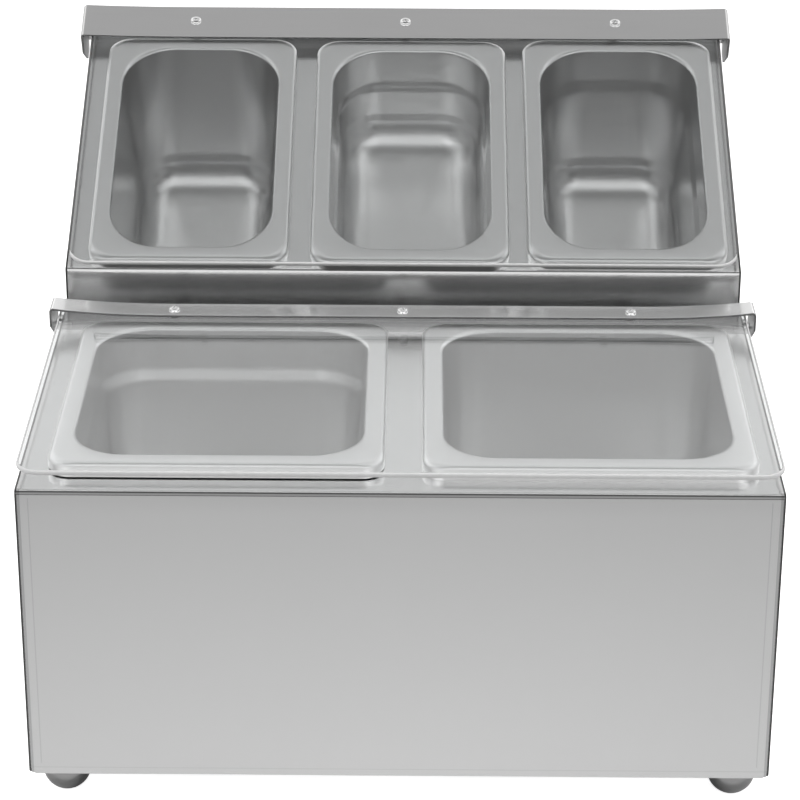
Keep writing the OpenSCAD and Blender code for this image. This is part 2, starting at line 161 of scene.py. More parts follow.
def rounded_rings(widths, lengths, radii, corner_steps, side_shares):
    """Closed rings, anticlockwise: quarter arcs (p (w/2 - r) + r cos a, q (l/2 - r) + r sin a)
    at the corners (p, q), and along each side the shares between its two arcs' ends.
    widths and lengths hold one value a ring, and radii one or four."""
    widths, lengths = (np.asarray(v, float)[:, None] for v in (widths, lengths))
    radii = np.broadcast_to(np.asarray(radii, float).reshape(len(widths), -1), (len(widths), 4))
    signs = ((1, 1), (-1, 1), (-1, -1), (1, -1))
    turn = np.linspace(0, math.pi / 2, corner_steps + 1)
    arcs = []
    for k, (p, q) in enumerate(signs):
        r, a = radii[:, k:k + 1], turn + k * math.pi / 2
        x = p * (widths / 2 - r) + r * np.cos(a)
        y = q * (lengths / 2 - r) + r * np.sin(a)
        arcs.append(np.stack([x, y], axis=-1))
    shares = np.asarray(side_shares, float)[None, :, None]
    parts = []
    for k in range(4):
        end, start = arcs[k][:, -1:], arcs[(k + 1) % 4][:, :1]
        parts += [arcs[k], end + (start - end) * shares]
    return np.concatenate(parts, axis=1)


# %% [markdown]
# ## Thickness and edges
# Sheet metal is drawn as one surface and given its thickness by Solidify, always on the hidden
# side, so that the drawn surface stays where it is. No real edge is perfectly sharp, so a narrow
# bevel breaks each one and lets it catch a line of light. Weld joins points that meet.

# %% Modifiers that finish a piece
def weld_points(piece, title, distance):
    """Joins the points that lie within distance of each other, in millimetres."""
    weld = piece.modifiers.new(title, "WELD")
    weld.merge_threshold = distance * MM


def thicken(piece, title, thickness):
    """Turns a surface into a sheet of this thickness, behind its outward side."""
    wall = piece.modifiers.new(title, "SOLIDIFY")
    wall.thickness = thickness * MM
    wall.offset = -1.0
    return wall


def break_edges(piece, width, least_angle, harden=True):
    """A bevel of this width on every edge that turns by more than least_angle degrees."""
    edge = piece.modifiers.new("broken edges", "BEVEL")
    edge.width = width * MM
    edge.segments = 2
    edge.limit_method = "ANGLE"
    edge.angle_limit = math.radians(least_angle)
    edge.harden_normals = harden


# %% [markdown]
# ## Shader building blocks
# A procedural material is arithmetic on the place of a point. A handful of short functions add
# the nodes for that arithmetic, so that each finish below reads as one recipe.

# %% Nodes for places, noise and arithmetic
def add_node(tree, kind, **settings):
    """A shader node with its named properties set."""
    node = tree.nodes.new(kind)
    for key, value in settings.items():
        setattr(node, key, value)
    return node


def principled(name):
    """A new material, with its node tree and its principled shader."""
    material = bpy.data.materials.new(name)
    material.use_nodes = True
    return material, material.node_tree, material.node_tree.nodes["Principled BSDF"]


def object_place(tree):
    """The place of the shaded point in the part's frame, in metres."""
    return add_node(tree, "ShaderNodeTexCoord").outputs["Object"]


def noise_along(tree, coords, scale, detail=3.0, roughness=0.5):
    """Noise on object coordinates stretched by scale, a value for each axis per metre."""
    mapping = add_node(tree, "ShaderNodeMapping")
    mapping.inputs["Scale"].default_value = scale
    noise = add_node(tree, "ShaderNodeTexNoise")
    noise.inputs["Scale"].default_value = 1.0
    noise.inputs["Detail"].default_value = detail
    noise.inputs["Roughness"].default_value = roughness
    tree.links.new(coords, mapping.inputs["Vector"])
    tree.links.new(mapping.outputs["Vector"], noise.inputs["Vector"])
    return noise.outputs["Fac"]


def map_range(tree, value, low, high, from_low=0.3, from_high=0.7):
    """Stretches value from one range to another, held at the ends."""
    node = add_node(tree, "ShaderNodeMapRange")
    node.inputs["From Min"].default_value = from_low
    node.inputs["From Max"].default_value = from_high
    node.inputs["To Min"].default_value = low
    node.inputs["To Max"].default_value = high
    tree.links.new(value, node.inputs["Value"])
    return node.outputs["Result"]


def combine(tree, first, second, operation="MULTIPLY"):
    """Two values, each a socket or a plain float, joined by a mathematical operation."""
    node = add_node(tree, "ShaderNodeMath", operation=operation)
    for k, value in enumerate((first, second)):
        if isinstance(value, float):
            node.inputs[k].default_value = value
        else:
            tree.links.new(value, node.inputs[k])
    return node.outputs[0]


def absolute(tree, value):
    """The value without its sign."""
    node = add_node(tree, "ShaderNodeMath", operation="ABSOLUTE")
    tree.links.new(value, node.inputs[0])
    return node.outputs[0]


def band(tree, value, centre, half):
    """1 where the value is within half of the centre, both in millimetres, else 0."""
    node = add_node(tree, "ShaderNodeMath", operation="COMPARE")
    node.inputs[1].default_value = centre * MM
    node.inputs[2].default_value = half * MM
    tree.links.new(value, node.inputs[0])
    return node.outputs[0]


def grey(tree, value):
    """A grey colour from a value."""
    node = add_node(tree, "ShaderNodeCombineColor")
    for channel in ("Red", "Green", "Blue"):
        tree.links.new(value, node.inputs[channel])
    return node.outputs["Color"]


def mix_shaders(tree, amount, first, second):
    """The first shader where amount is 0 and the second where it is 1."""
    node = add_node(tree, "ShaderNodeMixShader")
    for k, socket in enumerate((amount, first, second)):
        tree.links.new(socket, node.inputs[k])
    return node.outputs[0]


# %% [markdown]
# ## Steel finishes
# All the metal is stainless steel, but each part was finished by another process. Folded sheet is
# brushed, so fine scratches run along it. Pans are pressed, so they are satin with faint stretch
# marks. Screws and feet are turned and polished. One recipe covers them all: a metallic surface
# whose noise is stretched along the brushing, feeding colour, roughness and a very low bump.

# %% Steel material recipe
scratch_share = 0.45            # of the noise, the rest being wide clouds
bump_height = 0.1               # millimetres


def steel(name, tone, rough, brush, tone_play=0.01, rough_play=0.02, bump=0.02):
    """Stainless steel. tone is its grey, rough its roughness, each varying by its play, and
    brush gives the noise frequency of the scratches along x, y and z, per metre."""
    material, tree, shader = principled(name)
    shader.inputs["Metallic"].default_value = 1.0
    coords = object_place(tree)
    scratches = noise_along(tree, coords, brush, detail=4.0, roughness=0.65)
    clouds = noise_along(tree, coords, (9, 9, 9), detail=2.0)
    play = combine(tree, combine(tree, scratches, scratch_share),
                   combine(tree, clouds, 1 - scratch_share), "ADD")
    colour = grey(tree, map_range(tree, play, tone - tone_play, tone + tone_play))
    tree.links.new(colour, shader.inputs["Base Color"])
    roughness = map_range(tree, play, rough - rough_play, rough + rough_play)
    tree.links.new(roughness, shader.inputs["Roughness"])
    bumps = add_node(tree, "ShaderNodeBump")
    bumps.inputs["Strength"].default_value = bump
    bumps.inputs["Distance"].default_value = bump_height * MM
    tree.links.new(scratches, bumps.inputs["Height"])
    tree.links.new(bumps.outputs["Normal"], shader.inputs["Normal"])
    return material


# %% The finishes, by process, with lit and shaded copies
strip_brush, pan_grain = (20, 900, 900), (260, 260, 60)
housing_steel = steel("brushed_housing_steel", 0.60, 0.20, (420, 14, 14), 0.008, bump=0.006)
front_steel = steel("brushed_front_steel", 0.60, 0.20, (900, 14, 14), 0.008)
side_steel = steel("brushed_side_steel", 0.60, 0.20, (14, 900, 14), 0.008)
# The front strip's lighter grey is painted light: the two strips are lit and shaded copies of one
# steel.
front_strip_steel = steel("brushed_front_strip_steel", 0.72, 0.20, strip_brush, bump=0.01)
rear_strip_steel = steel("brushed_rear_strip_steel", 0.56, 0.20, strip_brush, bump=0.01)
# Painted light: the strips' hidden sides get a light grey, which stands in for light in the shade
# under each strip.
inner_steel = steel("inner_strip_steel", 0.72, 0.34, strip_brush)
# The strips' cut edges are darkened to 0.16.
edge_steel = steel("dark_edge_steel", 0.16, 0.40, (700, 700, 700), 0.05, 0.08, bump=0.05)
# The front pans' lighter grey is painted light: front and rear pans are lit and shaded copies of
# one pan steel.
front_pan_steel = steel("satin_front_pan_steel", 0.68, 0.32, pan_grain, bump=0.01)
rear_pan_steel = steel("satin_rear_pan_steel", 0.56, 0.31, pan_grain, bump=0.01)
fastener_steel = steel("polished_fastener_steel", 0.66, 0.14, (900, 900, 900), 0.03, 0.03, 0.03)
foot_metal = steel("dark_polished_foot", 0.30, 0.10, (120, 120, 900), 0.03)
print("finishes", len(bpy.data.materials))

# %% [markdown]
# ## Seams, painted shade and dark edges
# The front sheet meets the side panels in a dressed weld: a duller band along the joint. Faint
# lines near the sides and the foot of the front face are painted shade. The bend to the deck has a
# painted dark reflection line, the deck behind the pans, under the hinge strip, is painted darker
# as the strip's shadow, and the side panels' edge faces are darkened. Each is a zone of the
# material, bounded by planes, where the tone is multiplied.

# %% Zones of tone and painted shade on the housing
def shade_zones(material, zones):
    """Multiplies the material's grey inside each zone. A zone is (tone, limits), and limits
    gives a centre and a half width for some of y, z and side, the distance from the middle
    plane, in millimetres."""
    tree = material.node_tree
    base = tree.nodes["Principled BSDF"].inputs["Base Color"]
    colour = base.links[0].from_node.inputs["Red"].links[0].from_socket
    split = add_node(tree, "ShaderNodeSeparateXYZ")
    tree.links.new(object_place(tree), split.inputs[0])
    x, y, z = split.outputs
    place = {"side": absolute(tree, x), "y": y, "z": z}
    for tone, limits in zones:
        factor = tone - 1.0
        for axis, (centre, half) in limits.items():
            factor = combine(tree, band(tree, place[axis], centre, half), factor)
        colour = combine(tree, colour, combine(tree, factor, 1.0, "ADD"))
    tree.links.new(grey(tree, colour), base)


front_y, deck_level = -back_y / 2, foot_h + deck_z
near = 0.3                      # points as near as this to a face are on it
# The faint lines near the sides and the foot of the front face are painted shade lines.
line_half = 0.28
seam_half, shade_line_in, bottom_line_h = 1.4, 5.2, 3.8
face_low, face_high = foot_h + 6.0, deck_level - 4.0
# Painted shadow of the hinge strip on the deck behind the front pans.
strip_shadow_y, strip_shadow_half = front_y + 209.0, 18.0
# A painted dark reflection line along the lower part of the bend to the deck.
bend_shade_y, bend_shade_y_half = front_y + 0.6, 0.7
bend_shade_z, bend_shade_z_half = deck_level - 1.45, 0.8
# The side panels' edge faces are darkened to this tone, all but their bevelled corners.
dark_edge_tone, broken_w = 0.12, 0.06     # the broken corners of a sheared edge stay bright
on_face = {"y": (front_y, near), "z": ((face_low + face_high) / 2, (face_high - face_low) / 2)}
# Tones under 1: the weld band, painted shade lines near the sides and foot, the painted shadow of
# the hinge strip on the deck, and a painted dark reflection line along the bend.
shade_zones(front_steel, [
    (0.72, {"side": (inner_x, seam_half), "y": (front_y, bend_r)}),
    (0.86, {"side": (inner_x - shade_line_in, line_half), **on_face}),
    (0.90, {"z": (foot_h + bottom_line_h, line_half), "y": (front_y, near)}),
    (0.50, {"z": (deck_level, near), "y": (strip_shadow_y, strip_shadow_half)}),
    (0.35, {"z": (bend_shade_z, bend_shade_z_half), "y": (bend_shade_y, bend_shade_y_half)}),
])
dark_edge_zone = {"side": (inner_x + sheet_t / 2, sheet_t / 2 - broken_w)}
shade_zones(side_steel, [(dark_edge_tone, dark_edge_zone)])

# %% [markdown]
# ## Clear lid sheet
# The lids are cut from clear acrylic. Light passes through, and at the low angle from which a
# caddy is usually seen both faces also mirror the room, which is what veils the pans in a pale
# haze. A transmitting shader with acrylic's index of 1.49 gives that by itself. Fine wiping marks
# roughen it a little.

# %% Clear acrylic and its sawn edge
acrylic_index = 1.49
lid_passes = (0.92, 0.93, 0.93, 1)      # share of lamp light that a lid lets through


def clear_acrylic(name):
    """Transmission 1, with faint wiping marks in its roughness. Shadow rays pass straight
    through, so that the lamps light what lies under the lid."""
    material, tree, shader = principled(name)
    shader.inputs["Transmission Weight"].default_value = 1.0
    shader.inputs["IOR"].default_value = acrylic_index
    shader.inputs["Base Color"].default_value = (0.97, 0.98, 0.98, 1)
    marks = noise_along(tree, object_place(tree), (9, 5, 5), detail=2.0)
    tree.links.new(map_range(tree, marks, 0.0, 0.004), shader.inputs["Roughness"])
    clear = add_node(tree, "ShaderNodeBsdfTransparent")
    clear.inputs["Color"].default_value = lid_passes
    shadow = add_node(tree, "ShaderNodeLightPath").outputs["Is Shadow Ray"]
    surface = mix_shaders(tree, shadow, shader.outputs[0], clear.outputs[0])
    tree.links.new(surface, tree.nodes["Material Output"].inputs["Surface"])
    return material


def sawn_acrylic(name):
    """The cut edge: pale and frosted, so hardly any light passes, with saw marks across it."""
    material, tree, shader = principled(name)
    shader.inputs["IOR"].default_value = acrylic_index
    marks = noise_along(tree, object_place(tree), (300, 300, 60), detail=2.0)
    tree.links.new(grey(tree, map_range(tree, marks, 0.56, 0.60)), shader.inputs["Base Color"])
    tree.links.new(map_range(tree, marks, 0.40, 0.50), shader.inputs["Roughness"])
    return material


acrylic = clear_acrylic("clear_acrylic_sheet")
acrylic_edge = sawn_acrylic("sawn_acrylic_edge")
# The rear lid's sides lie just over the side panels' edges, and their sawn edge is painted dark
# with the panels' edge tone, standing in for the dark edges seen through the clear sheet.
rear_lid_w, side_edge_half = 361.0, 1.2
side_edge = sawn_acrylic("sawn_acrylic_over_panels")
shade_zones(side_edge, [(dark_edge_tone, {"side": (rear_lid_w / 2, side_edge_half)})])

# %% [markdown]
# ## Food pans
# A gastronorm pan is drawn from one sheet of thin steel: a rim with a short skirt, a rounded lip, a
# wall that leans in, and a floor with a generous fillet. Some have a small step in the wall, so
# that a stack of pans doesn't jam. That section, as pairs of inset and height, is carried round a
# rounded rectangle whose corner radius changes with the inset. The hidden face follows one sheet
# thickness behind, so the loft closes on itself.

# %% Pan sizes
pan_l = 176.0
front_pan_w, rear_pan_w = 161.0, 108.0
pan_depth, shallow_depth = 100.0, 65.0
rim_h = 6.0
front_rim_w, rear_rim_w = 10.5, 10.0
pan_t = 0.8
pan_lift = 0.6                  # the front left pan's front edge stands up by this much
front_cut_pitch, rear_cut_pitch = 179.0, 118.5
front_cut_xs = [k * front_cut_pitch for k in (-0.5, 0.5)]
rear_cut_xs = [k * rear_cut_pitch for k in (-1, 0, 1)]
front_pan_shift, rear_pan_shift = 1.5, 2.5
rear_pan_play = [(0.0, 0.5), (1.0, -0.5), (0.0, 1.0)]
front_pan_start, rear_pan_start = 14.0, 0.5
pan_bend_r, pan_lip_r, pan_floor_r = 2.5, 1.5, 16.0
pan_draft = 0.06
step_depth, step_lead, step_run = 25.0, 2.0, 5.0
step_in = 1.6
rim_corner_r, mouth_corner_r = 11.0, 28.0
fillet_gap, lip_gap = 3.0, 2.0  # between the wall's rows and the arcs at its two ends
pan_side_shares = np.concatenate([[0.01], np.linspace(0.05, 0.95, 19), [0.99]])
pan_corner_steps = 14
floor_guard = (3.0, 1.0)        # insets of two level rings between the fillet and the flat floor


# %% Pan section and loft
def wall_section(rim_w, depth, step, off, fine):
    """Pairs (inset, height) of one face of a pan's wall, from floor to skirt: a quarter fillet,
    a wall whose inset is rim + draft * depth + step * smoothstep, a quarter lip and a quarter
    bend. off moves the face outwards by its share of the sheet."""
    floor_z = rim_h - depth
    foot_in = rim_w + step + pan_draft * (depth - pan_lip_r)
    centre = (foot_in + pan_floor_r, floor_z + pan_floor_r)
    floor = np.array([[centre[0] + d, floor_z - off] for d in floor_guard])
    fillet = arc(centre, pan_floor_r + off, 270, 180, 12 * fine)
    down = np.linspace(depth - pan_floor_r - fillet_gap, pan_lip_r + lip_gap, 12 * fine)
    t = np.clip((down - step_depth + step_lead) / step_run, 0, 1)
    inset = rim_w + pan_draft * (down - pan_lip_r) + step * t * t * (3 - 2 * t)
    wall = np.stack([inset - off, rim_h - down], axis=-1)
    lip = arc((rim_w - pan_lip_r, rim_h - pan_lip_r), pan_lip_r - off, 0, 90, 5 * fine)
    bend = arc((pan_bend_r, rim_h - pan_bend_r), pan_bend_r - off, 90, 180, 4 * fine)
    return np.concatenate([floor, fillet, wall, lip, bend, [[off, 0.0]]])


def corner_radius(inset, rim_w):
    """Grows from the rim's corner to the mouth's across the rim, then shrinks with the inset."""
    on_rim = rim_corner_r + (mouth_corner_r - rim_corner_r) * inset / rim_w
    return np.where(inset < rim_w, on_rim, mouth_corner_r - (inset - rim_w))


def pan_surface(w, rim_w, depth, step):
    """Rings (x, y, h) of a pan centred on its middle, up the inside and down behind it."""
    inside = wall_section(rim_w, depth, step, 0.0, 2)
    behind = wall_section(rim_w, depth, step, pan_t, 1)[::-1]
    section = np.concatenate([inside, behind])
    inset, height = section[:, 0], section[:, 1]
    radii = corner_radius(inset, rim_w)
    rings = rounded_rings(
        w - 2 * inset, pan_l - 2 * inset, radii, pan_corner_steps, pan_side_shares)
    level = np.broadcast_to(height[:, None, None], rings.shape[:2] + (1,))
    return np.concatenate([rings, level], axis=-1)


def make_pan(name, deck, middle, start, tilt, w, rim_w, depth, step):
    """One pan in its deck: the surface, tilted about the back of its skirt, then set in place."""
    rings = pan_surface(w, rim_w, depth, step)
    rows, columns = rings.shape[:2]
    x, y, h = rings[..., 0] + middle, rings[..., 1] - pan_l / 2, rings[..., 2]
    y, h = y * math.cos(tilt) + h * math.sin(tilt), h * math.cos(tilt) - y * math.sin(tilt)
    points = deck(x, y + start + pan_l, h)
    floor = range(columns)
    underside = [(rows - 1) * columns + k for k in reversed(range(columns))]
    pan = make_mesh(name, points, grid_faces(rows, columns, wrap=True), [floor, underside], 50)
    print(name, "steel", round(enclosed_volume(pan) / 1000, 1), "cm3")
    return pan


# %% Five pans in two decks
front_left_tilt = math.asin(pan_lift / pan_l)
left_x, right_x = (x + front_pan_shift for x in front_cut_xs)
rear_places = [(x + rear_pan_shift + aside, rear_pan_start + along)
               for x, (aside, along) in zip(rear_cut_xs, rear_pan_play)]
front_size, rear_size = (front_pan_w, front_rim_w), (rear_pan_w, rear_rim_w)
# Each row: deck, middle, start, tilt, width and rim, depth, step in the wall.
pans = {
    "lower_pan_left": (
        on_front_deck, left_x, front_pan_start, front_left_tilt, *front_size, pan_depth, step_in),
    "lower_pan_right": (
        on_front_deck, right_x, front_pan_start, 0.0, *front_size, pan_depth, 0.0),
    "upper_pan_left": (on_rear_deck, *rear_places[0], 0.0, *rear_size, pan_depth, 0.0),
    "upper_pan_middle": (on_rear_deck, *rear_places[1], 0.0, *rear_size, shallow_depth, step_in),
    "upper_pan_right": (on_rear_deck, *rear_places[2], 0.0, *rear_size, pan_depth, step_in),
}
for node, sizes in pans.items():
    pan = make_pan("pressed_" + node, *sizes)
    steel_used = front_pan_steel if node.startswith("lower") else rear_pan_steel
    finish_piece(pan, steel_used, "pan_steel", "housing", node)

# %% [markdown]
# ## Folded housing sheets
# The front panel and the level deck are one sheet, and so are the step and the sloping deck. Each
# was cut flat, with a rounded opening for every pan, and folded over a small radius. The surface
# is made the same way: a strip of rows goes up the face and round the bend, and each pan gets a
# cell of the deck whose rings run from the cell's edge to the opening.

# %% Deck cells
cut_play = 5.0
cut_corner_r = 26.0
cell_rows = 4
arc_half_steps = 6
straight_steps = 10


def side_marks(low, high, hole_low, hole_high):
    """Marks along one side of a cell: even steps up to the opening's straight part, along it,
    and on to the other end."""
    a = np.linspace(low, hole_low, arc_half_steps + 1)
    b = np.linspace(hole_low, hole_high, straight_steps + 1)
    c = np.linspace(hole_high, high, arc_half_steps + 1)
    return np.concatenate([a, b[1:], c[1:]])


def opening_outline(left, right, front, back):
    """A rounded rectangle, anticlockwise from the middle of its front left corner's arc."""
    r, share = cut_corner_r, np.linspace(0, 1, straight_steps + 1)[1:-1, None]
    corners = [(left + r, front + r), (right - r, front + r),
               (right - r, back - r), (left + r, back - r)]
    outline = []
    for k in range(4):
        turn = 225 + 90 * k
        first = arc(corners[k], r, turn, turn + 45, arc_half_steps)
        last = arc(corners[(k + 1) % 4], r, turn + 45, turn + 90, arc_half_steps)
        between = first[-1] + (last[0] - first[-1]) * share
        outline.append(np.concatenate([first, between, last])[:-1])
    return np.concatenate(outline)


def deck_cell(x0, x1, s0, s1, hole_x, hole_s, hole_w, hole_l):
    """Rings (x, s) from the cell's rectangle, t = 0, to its rounded opening, t = 1, mixed as
    (1 - t) rectangle + t opening, anticlockwise from the front left corner."""
    left, right = hole_x - hole_w / 2, hole_x + hole_w / 2
    front, back = hole_s, hole_s + hole_l
    xs = side_marks(x0, x1, left + cut_corner_r, right - cut_corner_r)
    ss = side_marks(s0, s1, front + cut_corner_r, back - cut_corner_r)
    sides = [(xs, s0), (x1, ss), (xs[::-1], s1), (x0, ss[::-1])]
    rectangle = np.concatenate([np.stack(np.broadcast_arrays(*side), -1)[:-1] for side in sides])
    t = np.linspace(0, 1, cell_rows)[:, None, None]
    return rectangle * (1 - t) + opening_outline(left, right, front, back) * t, xs


# %% A folded sheet
def folded_sheet(name, deck, profile, edges, s_start, s_end, cut_xs, pan_start, pan_w, rim_w,
                 narrow):
    """A deck of cells, one a pan, joined to a face whose rows follow profile, pairs (y, z).
    narrow gives how far a row of the face draws in at each side, from its height."""
    points, faces, count, marks = [], [], 0, []
    hole_w = pan_w - 2 * rim_w + 2 * cut_play
    hole_l = pan_l - 2 * rim_w + 2 * cut_play
    for k, middle in enumerate(cut_xs):
        cell, xs = deck_cell(edges[k], edges[k + 1], s_start, s_end, middle,
                             pan_start + rim_w - cut_play, hole_w, hole_l)
        placed = deck(cell[..., 0], cell[..., 1], 0.0).reshape(-1, 3)
        points.append(placed)
        faces.append(grid_faces(*cell.shape[:2], wrap=True)[:, ::-1] + count)
        count += len(placed)
        marks.append(xs if k == 0 else xs[1:])
    x = np.concatenate(marks)
    y, z = housing(profile[:, 0], profile[:, 1])
    shape = (len(profile), len(x))
    face = np.stack([
        np.broadcast_to(x, shape) * (1 - narrow(profile[:, 1])[:, None] / inner_x),
        np.broadcast_to(y[:, None], shape), np.broadcast_to(z[:, None], shape)], axis=-1)
    points.append(face.reshape(-1, 3))
    faces.append(grid_faces(*shape)[:, ::-1] + count)
    sheet = make_mesh(name, np.concatenate(points), np.concatenate(faces), sharp=60)
    weld_points(sheet, "join cells", 0.01)
    wall = thicken(sheet, "sheet thickness", sheet_t)
    wall.use_even_offset = True
    break_edges(sheet, 0.18, 60)
    return sheet


# %% Front panel with the level deck
row_margin = 12.0               # between the panel's even rows and its bend or rounded bottom


def round_bottom(z):
    """How far a row of the front panel draws in at its rounded lower corners."""
    up = np.clip(panel_corner_r - z, 0, panel_corner_r)
    return panel_corner_r - np.sqrt(panel_corner_r ** 2 - up ** 2)


bottom_rows = panel_corner_r * (1 - np.cos(np.radians(np.linspace(0, 90, 5))))
panel_rows = np.concatenate([bottom_rows, np.linspace(row_margin, deck_z - row_margin, 10)])
panel_face = np.stack([np.zeros_like(panel_rows), panel_rows], -1)
front_bend = arc((bend_r, deck_z - bend_r), bend_r, 180, 90, 10)
front_profile = np.concatenate([panel_face, front_bend])
front_edges = [-inner_x, 0.0, inner_x]
front_sheet = folded_sheet(
    "folded_front_sheet", on_front_deck, front_profile, front_edges, bend_r, front_deck_l,
    front_cut_xs, front_pan_start, front_pan_w, front_rim_w, round_bottom)
finish_piece(front_sheet, front_steel, "housing_steel", "housing", "lower_shell")

# %% Step with the sloping deck
lap = 12.0                      # how far the step reaches down behind the level deck
bend_gap = 1.0
sharp_turn = 90 - math.degrees(slope)
reach = bend_r * math.tan(math.radians(sharp_turn) / 2)
step_top = deck_z + riser_h
rear_bend = arc(
    (front_deck_l + bend_r, step_top - reach), bend_r, 180, 90 + math.degrees(slope), 8)
step_rows = np.linspace(deck_z - lap, step_top - reach - bend_gap, 6)
step_face = np.stack([np.full_like(step_rows, front_deck_l), step_rows], -1)
rear_profile = np.concatenate([step_face, rear_bend])
rear_edges = [-inner_x, np.mean(rear_cut_xs[:2]), np.mean(rear_cut_xs[1:]), inner_x]
rear_sheet = folded_sheet(
    "folded_rear_sheet", on_rear_deck, rear_profile, rear_edges, reach, rear_deck_l,
    rear_cut_xs, rear_pan_start, rear_pan_w, rear_rim_w, np.zeros_like)
finish_piece(rear_sheet, housing_steel, "housing_steel", "housing", "upper_shell")

# %% [markdown]
# ## Clear lids
# A lid is a sheet cut to a rounded rectangle, with both edges eased by sanding. The same rings as
# the pans' make it: they grow round the edge from the lower face to the upper one, and two flat
# caps close it. The free corners are rounded, and those under the strip are almost square.

# %% Lid plates
lid_t = 2.5
front_lid_w = 364.0
front_lid_h, rear_lid_h = rim_h + 1.8, rim_h + 0.3
front_lid_start, rear_lid_start = 0.0, -3.0
front_strip_start, front_strip_w = 188.5, 16.0
rear_strip_start, rear_strip_w = 174.5, 25.5
lid_corner_r, square_corner_r, least_r = 12.0, 1.5, 0.2
lid_edge_r = 0.9
edge_guard = 0.6                # width of the level band that keeps the wide faces' shading even


def make_lid(name, deck, w, s0, s1, h):
    """Rings of a plate: inset e - e cos a and height 0 .. t, rounded at both edges by e."""
    e = lid_edge_r
    low = arc((-e, e), e, 270, 360, 5)
    high = arc((-e, lid_t - e), e, 0, 90, 5)
    edge = np.concatenate([[[-e - edge_guard, 0.0]], low, high, [[-e - edge_guard, lid_t]]])
    inset, level = -edge[:, 0], edge[:, 1]
    radii = np.array([square_corner_r, square_corner_r, lid_corner_r, lid_corner_r])
    rings = rounded_rings(
        w - 2 * inset, s1 - s0 - 2 * inset, np.maximum(radii[None] - inset[:, None], least_r),
        8, np.linspace(0, 1, 12)[1:-1])
    rows, columns = rings.shape[:2]
    points = deck(rings[..., 0], rings[..., 1] + (s0 + s1) / 2, h + level[:, None])
    faces = grid_faces(rows, columns, wrap=True)[:, ::-1]
    caps = [list(reversed(range(columns))), [(rows - 1) * columns + k for k in range(columns)]]
    lid = make_mesh(name, points, faces, caps, sharp=40)
    print(name, "acrylic", round(enclosed_volume(lid) / 1000, 1), "cm3")
    return lid


def finish_lid(lid, body, node, edge_material):
    """Clear faces, and the sawn edge on every face between the level bands by the two caps."""
    finish_piece(lid, acrylic, "clear_sheet", body, node)
    lid.data.materials.append(edge_material)
    slots = np.ones(len(lid.data.polygons), np.int32)
    ring = len(lid.data.polygons[-1].vertices)
    slots[:ring] = slots[-2 - ring:] = 0
    lid.data.polygons.foreach_set("material_index", slots)


front_lid = make_lid("clear_front_lid", on_front_deck, front_lid_w,
                     front_lid_start, front_strip_start + front_strip_w, front_lid_h)
finish_lid(front_lid, "front_lid", "lower_lid", acrylic_edge)
rear_lid = make_lid("clear_rear_lid", on_rear_deck, rear_lid_w,
                    rear_lid_start, rear_strip_start + rear_strip_w, rear_lid_h)
finish_lid(rear_lid, "rear_lid", "upper_lid", side_edge)

# %% [markdown]
# ## Hinge strips
# Each lid hangs from a steel strip screwed along its back edge. The strip's ends turn down outside
# the housing as ears, which swing on a pin at each side. It is one flat blank folded twice, so it
# is one surface: a path goes up the left ear, round the fold, along the strip, which bows up a
# little past its last screws, and down the right ear. At each point of that path the strip has a
# front and a back edge, which on the ears follow the cut outline.

# %% Strip sizes and surface
strip_t = 1.2
ear_out = body_w / 2 + 3.5 + strip_t
ear_fold_r, ear_gap = 2.2, 0.5
fold_start = 82                 # degrees: the bowed strip reaches the fold already leaning
screw_pitch = 121.0
flat_half = screw_pitch + 5.0
front_strip_bow, rear_strip_bow = 3.3, 1.2


def rise(x, bow):
    """Zero as far as the outer screws' heads, then bow times the square of the share outwards."""
    share = np.clip(np.abs(x) - flat_half, 0, None) / (ear_out - flat_half)
    return bow * share ** 2


def make_strip(name, deck, start, width, lid_h, bow, front_edge, back_edge):
    """The strip's upper face as a grid: rows along the folded path, columns across it.
    front_edge and back_edge give s against h on the ears, as pairs (h, s) from the lowest up."""
    top = lid_h + lid_t + strip_t
    end_x, end_h = ear_out - ear_fold_r, top + rise(ear_out, bow) - ear_fold_r
    flat_x = np.linspace(-end_x, end_x, 61)
    flat = np.stack([flat_x, top + rise(flat_x, bow)], -1)
    fold = arc((end_x, end_h), ear_fold_r, fold_start, 0, 6)
    ear_h = np.linspace(end_h - ear_gap, front_edge[0][0], 16)
    ear = np.stack([np.full_like(ear_h, ear_out), ear_h], -1)
    right = np.concatenate([fold, ear])
    left = right[::-1] * (-1, 1)
    path = np.concatenate([left, flat[1:-1], right])
    on_ear = np.abs(path[:, 0]) > end_x - 0.01
    s_front = np.where(on_ear, np.interp(path[:, 1], *np.transpose(front_edge)), start)
    s_back = np.where(on_ear, np.interp(path[:, 1], *np.transpose(back_edge)), start + width)
    t = np.linspace(0, 1, 6)
    s = s_front[:, None] + (s_back - s_front)[:, None] * t
    points = deck(path[:, :1], s, path[:, 1:])
    strip = make_mesh(name, points, grid_faces(*s.shape), sharp=50)
    wall = thicken(strip, "strip thickness", strip_t)
    wall.material_offset, wall.material_offset_rim = 1, 2
    break_edges(strip, 0.25, 50)
    return strip


def add_hidden_finishes(strip):
    """The finishes of a strip's inner side and of its sheared edges, in the order in which its
    thickness asks for them."""
    for material in (inner_steel, edge_steel):
        strip.data.materials.append(material)


# %% Front strip
front_top = front_lid_h + lid_t + strip_t + front_strip_bow
front_strip = make_strip(
    "hinge_strip_front", on_front_deck, front_strip_start, front_strip_w, front_lid_h,
    front_strip_bow,
    [(-7.0, 206.5), (4.5, front_strip_start), (front_top, front_strip_start)],
    [(-7.0, 213.5), (-3.0, 217.5), (9.0, 217.5),
     (front_top - strip_t / 2, front_strip_start + front_strip_w)])
finish_piece(front_strip, front_strip_steel, "strip_steel", "front_lid", "lower_hinge_strip")
add_hidden_finishes(front_strip)

